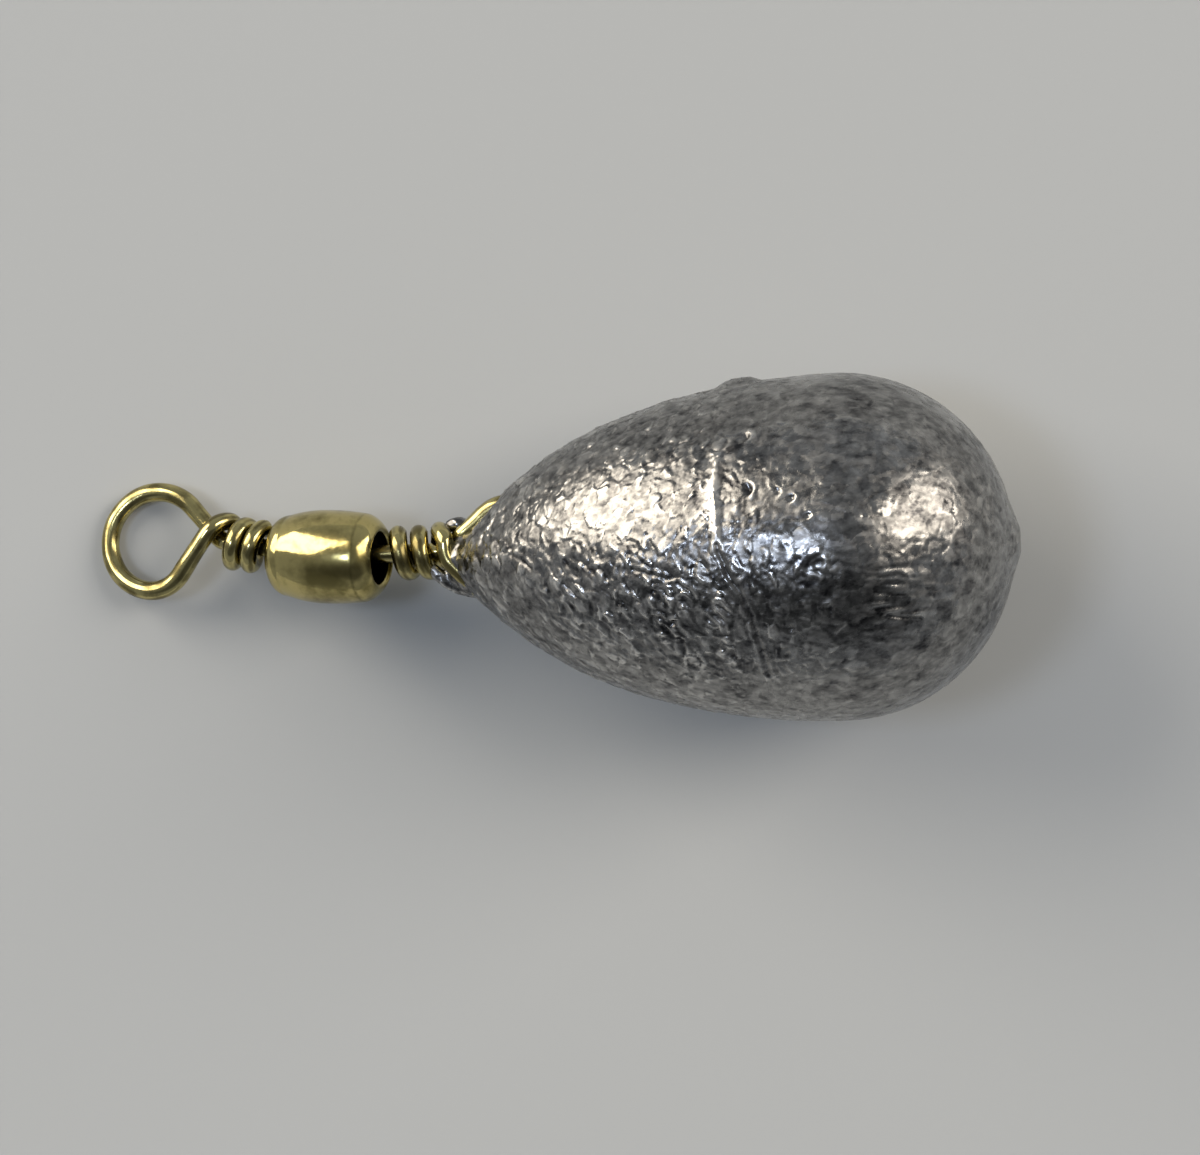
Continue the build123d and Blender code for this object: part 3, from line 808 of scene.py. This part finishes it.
def barrel_relief(barrel, points):
    """Height of the barrel's skin over its smooth shape, and which points lie deep inside."""
    diameter, long, swage, mouth, crease_depth, dent = in_mm(
        barrel, "diameter length swage_length mouth_radius crease_depth dent_height"
    )
    place, radius = points[:, 0], np.hypot(points[:, 1], points[:, 2])
    crease_at = long / 2 - swage
    outside = ease(radius, mouth + 0.25, mouth + 0.4)
    outside *= radius > 0.43 * diameter * (np.abs(place) < crease_at)
    height = dent * (noise_at(points, 1.5, 21) + 0.5 * noise_at(points, 0.7, 22))
    # A ring where each swaged end starts, with a low rim beside it, sharper at the lead
    for at, depth, wide in ((crease_at, 1.0, 0.06), (-crease_at, 0.35, 0.12)):
        height -= crease_depth * depth * bell(place - at, wide)
        height += 0.5 * crease_depth * depth * bell(place - at - 0.16, 0.1)
    height += 0.2 * dent * noise_at(points, 0.25, 25)
    # Points deep inside the barrel, which the material paints nearly black as shade
    deep_in = (outside == 0) & (np.abs(place) < long / 2 - 0.12)
    return height * outside, deep_in


class SINKER_OT_lead(Operator):
    """Cast the lead body with its lips, creases, pits and gate"""

    bl_idname = "sinker.lead"
    bl_label = "Lead Body"

    def execute(self, context):
        lead = context.scene.sinker_lead
        points, faces = skin(turned_rings(lead_profile(lead), BLANK_SIDES))
        turns = np.linspace(0.02, pi - 0.02, BALL_RINGS)
        for *centre, radius in lip_balls():
            profile = [(-radius * cos(turn), radius * sin(turn)) for turn in turns]
            ball_points, ball_faces = skin(turned_rings(profile, BALL_SIDES))
            faces += [[len(points) + corner for corner in face] for face in ball_faces]
            points = np.concatenate([points, ball_points + centre])
        blank = new_mesh("lead_blank", points, faces)
        fuse = blank.modifiers.new("fuse", "REMESH")
        fuse.mode = "VOXEL"
        fuse.voxel_size = lead.grid / MM
        soften = blank.modifiers.new("soften", "SMOOTH")
        soften.factor = 0.5
        soften.iterations = 8
        solid = bpy.data.meshes.new_from_object(blank.evaluated_get(context.evaluated_depsgraph_get()))
        bpy.data.objects.remove(blank)
        solid.name = "lead_casting"
        count = len(solid.vertices)
        if count < LEAST_POINTS:
            raise RuntimeError("the lead's skin came out too coarse")
        flat = np.empty(count * 3, np.float32)
        solid.vertices.foreach_get("co", flat)
        points = flat.reshape(-1, 3).astype(float)
        solid.vertices.foreach_get("normal", flat)
        normals = flat.reshape(-1, 3).astype(float)
        height, fine, tone, gloss = lead_relief(lead, points)
        points = points + normals * height[:, None]
        # Set in the row frame, and worn flat where it lies on the floor
        place = np.array(lead_place(lead))
        world = points @ place[:3, :3].T + place[:3, 3]
        world[:, 2] = np.maximum(world[:, 2], 0)
        solid.vertices.foreach_set("co", world.astype(np.float32).ravel())
        solid.update()
        solid.shade_smooth()
        made = bpy.data.objects.new("lead_casting", solid)
        context.scene.collection.objects.link(made)
        keep_values(made, "relief", np.clip(fine / (2 * lead.crinkle_height / MM), -1, 1))
        keep_values(made, "facet_tone", tone)
        keep_values(made, "facet_gloss", gloss)
        set_piece(made, Matrix.Identity(4), cast_lead(lead), "sinker", "lead_body")
        return {"FINISHED"}


class SINKER_OT_eyes(Operator):
    """Form the two brass wire eyes, one cast into the lead and one for the line"""

    bl_idname = "sinker.eyes"
    bl_label = "Wire Eyes"

    def execute(self, context):
        wire, lead = context.scene.sinker_wire, context.scene.sinker_lead
        material = brass("brass_wire_drawn_bright", wire, grain_size=0.1, rough_low=0.11, rough_high=0.28)
        diameter, line_gap, anchor_gap, loop, drop, cover, clearance = in_mm(
            wire, "diameter line_gap anchor_gap loop_radius loop_drop loop_cover wrap_clearance"
        )
        line_path = eye_path(wire, -1, diameter + line_gap, WIRE_STEP)
        line_eye = eye_mesh("line_eye_wire", wire, -1, line_path)
        set_piece(line_eye, joint_place("line_eye_spin"), material, "free_eye", "line_eye")

        outline = np.array(lead_arcs(lead))[::-1]
        loop_at = np.interp(loop + diameter / 2 + cover, outline[:, 1], outline[:, 0])
        centre = eye_stops(wire, diameter + anchor_gap)[2]
        in_lead = Matrix.Translation((loop_at - centre, drop, -(diameter + clearance) / 2))
        anchor_path = eye_path(wire, 1, diameter + anchor_gap, WIRE_STEP)
        anchor_eye = eye_mesh("anchor_eye_wire", wire, 1, under_skin(anchor_path, in_lead, lead, wire))
        set_piece(anchor_eye, lead_place(lead) @ in_lead, material, "sinker", "anchor_eye")
        return {"FINISHED"}


class SINKER_OT_barrel(Operator):
    """Swage the hollow brass barrel that both eyes turn in"""

    bl_idname = "sinker.barrel"
    bl_label = "Swivel Barrel"

    def execute(self, context):
        barrel = context.scene.sinker_barrel
        points, faces = skin(turned_rings(barrel_profile(barrel), barrel.sides), joined_up=True)
        height, inside = barrel_relief(barrel, points)
        out = points * np.array([0, 1, 1])
        out /= np.linalg.norm(out, axis=1)[:, None]
        made = new_mesh("swivel_barrel_sleeve", points + out * height[:, None], faces)
        relief = np.clip(height / (2 * barrel.dent_height / MM), -1, 1)
        # The inside carries the mark for its painted shade
        keep_values(made, "relief", np.where(inside, DEEP_INSIDE, relief))
        material = brass(
            "brass_sleeve_swaged_tumbled", barrel, grain_size=0.16, rough_low=0.1, rough_high=0.26
        )
        set_piece(made, joint_place("barrel_spin"), material, "barrel", "swivel_barrel")
        return {"FINISHED"}


class SINKER_OT_stage(Operator):
    """Lay the pale floor and set the soft lights, the room and the camera"""

    bl_idname = "sinker.stage"
    bl_label = "Stage"

    def execute(self, context):
        stage = context.scene.sinker_stage
        half = stage.floor_size / 2
        corners = [(x * half, y * half, -FLOOR_DROP) for x, y in ((-1, -1), (1, -1), (1, 1), (-1, 1))]
        floor = new_mesh("floor", corners, [[0, 1, 2, 3]])
        # Painted board: a flat matt grey with no shine of its own
        material, add = new_material("painted_board_matt")
        matt = {"Base Color": (*stage.floor, 1), "Roughness": 0.85, "Specular IOR Level": 0.2}
        shader = add("ShaderNodeBsdfPrincipled", matt)
        add("ShaderNodeOutputMaterial", links={"Surface": shader})
        floor.data.materials.append(material)
        self.light_room(context, stage)
        self.set_camera(context, stage)
        context.scene.view_settings.view_transform = "Standard"
        return {"FINISHED"}

    def light_room(self, context, stage):
        """Grey room, dimmer overhead, with a dark part, two large soft lights and a small cool one."""
        world = bpy.data.worlds.new("room")
        context.scene.world = world
        world.use_nodes = True
        world.node_tree.nodes.clear()
        add = partial(add_node, world.node_tree)
        way = add("ShaderNodeTexCoord").outputs["Generated"]
        # The dark part leans towards -Y, is drawn out along X and has a soft edge
        lean, edge_in, edge_out = radians(38), radians(15), radians(29)
        drawn_out = add("ShaderNodeVectorMath", {"operation": "MULTIPLY", 1: (0.4, 1, 1)}, {0: way})
        spread = add("ShaderNodeVectorMath", {"operation": "NORMALIZE"}, {0: drawn_out})
        middle = {"operation": "DOT_PRODUCT", 1: (0, -sin(lean), cos(lean))}
        toward = add("ShaderNodeVectorMath", middle, {0: spread})
        dark = {
            "interpolation_type": "SMOOTHSTEP",
            "From Min": cos(edge_out),
            "From Max": cos(edge_in),
            "To Min": stage.sky,
            "To Max": stage.sky * stage.shade,
        }
        dim = add("ShaderNodeMapRange", dark, {"Value": toward.outputs["Value"]})
        # The whole room grows dimmer towards a point overhead, 30 degrees over to -Y
        height = add("ShaderNodeVectorMath", {"operation": "DOT_PRODUCT", 1: (0, -0.5, 0.866)}, {0: way})
        dimmer = {"From Min": -0.2, "From Max": 0.9, "To Min": 1, "To Max": stage.ceiling}
        fall = add("ShaderNodeMapRange", dimmer, {"Value": height.outputs["Value"]})
        level = add("ShaderNodeMath", {"operation": "MULTIPLY"}, {0: dim, 1: fall})
        sky = add("ShaderNodeBackground", {"Color": (*linear("#F2F6FA"), 1)}, {"Strength": level})
        add("ShaderNodeOutputWorld", links={"Surface": sky})
        # Name, lean towards +X and +Y in degrees, width and depth as shares of the distance,
        # brightness and colour
        lights = [
            ("soft_light_left", -61, 30, 0.68, 0.88, stage.key, "#FFF3E0"),
            ("soft_light_right", 54, 18, 0.44, 0.95, stage.side, "#FFF3E2"),
            ("window_light", -25, 1, 0.17, 0.2, stage.window, "#DCE9FF"),
        ]
        for name, lean_x, lean_y, wide, deep, brightness, code in lights:
            lamp = bpy.data.lights.new(name, "AREA")
            lamp.shape = "RECTANGLE"
            lamp.size, lamp.size_y = wide * stage.light_distance, deep * stage.light_distance
            # An area lamp of this power has the stated brightness when it is looked at
            lamp.energy = brightness * pi * lamp.size * lamp.size_y
            lamp.color = linear(code)
            made = bpy.data.objects.new(name, lamp)
            x, y = radians(lean_x), radians(lean_y)
            way_out = Vector((sin(x) * cos(y), sin(y), cos(x) * cos(y)))
            made.location = LIGHT_TARGET + way_out * stage.light_distance
            made.rotation_euler = way_out.to_track_quat("Z", "Y").to_euler()
            context.scene.collection.objects.link(made)

    def set_camera(self, context, stage):
        """Camera straight over the sinker."""
        lens = bpy.data.cameras.new("camera")
        lens.sensor_fit = "HORIZONTAL"
        lens.lens = lens.sensor_width * stage.camera_height / stage.view_width
        lens.clip_start = 0.01
        made = bpy.data.objects.new("camera", lens)
        made.location = (stage.camera_x, stage.camera_y, stage.camera_height)
        made.rotation_euler = (0, 0, stage.camera_turn)
        context.scene.collection.objects.link(made)
        context.scene.camera = made


class SINKER_PT_parts(Panel):
    """Sinker's parts in the sidebar"""

    bl_label = "Casting Sinker"
    bl_idname = "SINKER_PT_parts"
    bl_space_type = "VIEW_3D"
    bl_region_type = "UI"
    bl_category = "Sinker"

    def draw(self, context):
        for operator, settings in STEPS:
            box = self.layout.box()
            box.operator(operator.bl_idname)
            for name in getattr(context.scene, settings).bl_rna.properties.keys():
                if name not in {"rna_type", "name"}:
                    box.prop(getattr(context.scene, settings), name)


STEPS = [
    (SINKER_OT_lead, "sinker_lead"),
    (SINKER_OT_eyes, "sinker_wire"),
    (SINKER_OT_barrel, "sinker_barrel"),
    (SINKER_OT_stage, "sinker_stage"),
]
SETTINGS = {
    "sinker_lead": LeadSettings,
    "sinker_wire": WireSettings,
    "sinker_barrel": BarrelSettings,
    "sinker_stage": StageSettings,
}
CLASSES = [*SETTINGS.values(), *(operator for operator, _ in STEPS), SINKER_PT_parts]


def register():
    """Registers the settings, operators and panel."""
    for kind in CLASSES:
        bpy.utils.register_class(kind)
    for name, kind in SETTINGS.items():
        setattr(bpy.types.Scene, name, PointerProperty(type=kind))


def unregister():
    """Takes the settings, operators and panel away again."""
    for name in SETTINGS:
        delattr(bpy.types.Scene, name)
    for kind in reversed(CLASSES):
        bpy.utils.unregister_class(kind)


def main():
    """Builds every piece and the stage."""
    register()
    bpy.ops.sinker.lead()
    bpy.ops.sinker.eyes()
    bpy.ops.sinker.barrel()
    bpy.ops.sinker.stage()


if __name__ == "__main__":
    main()
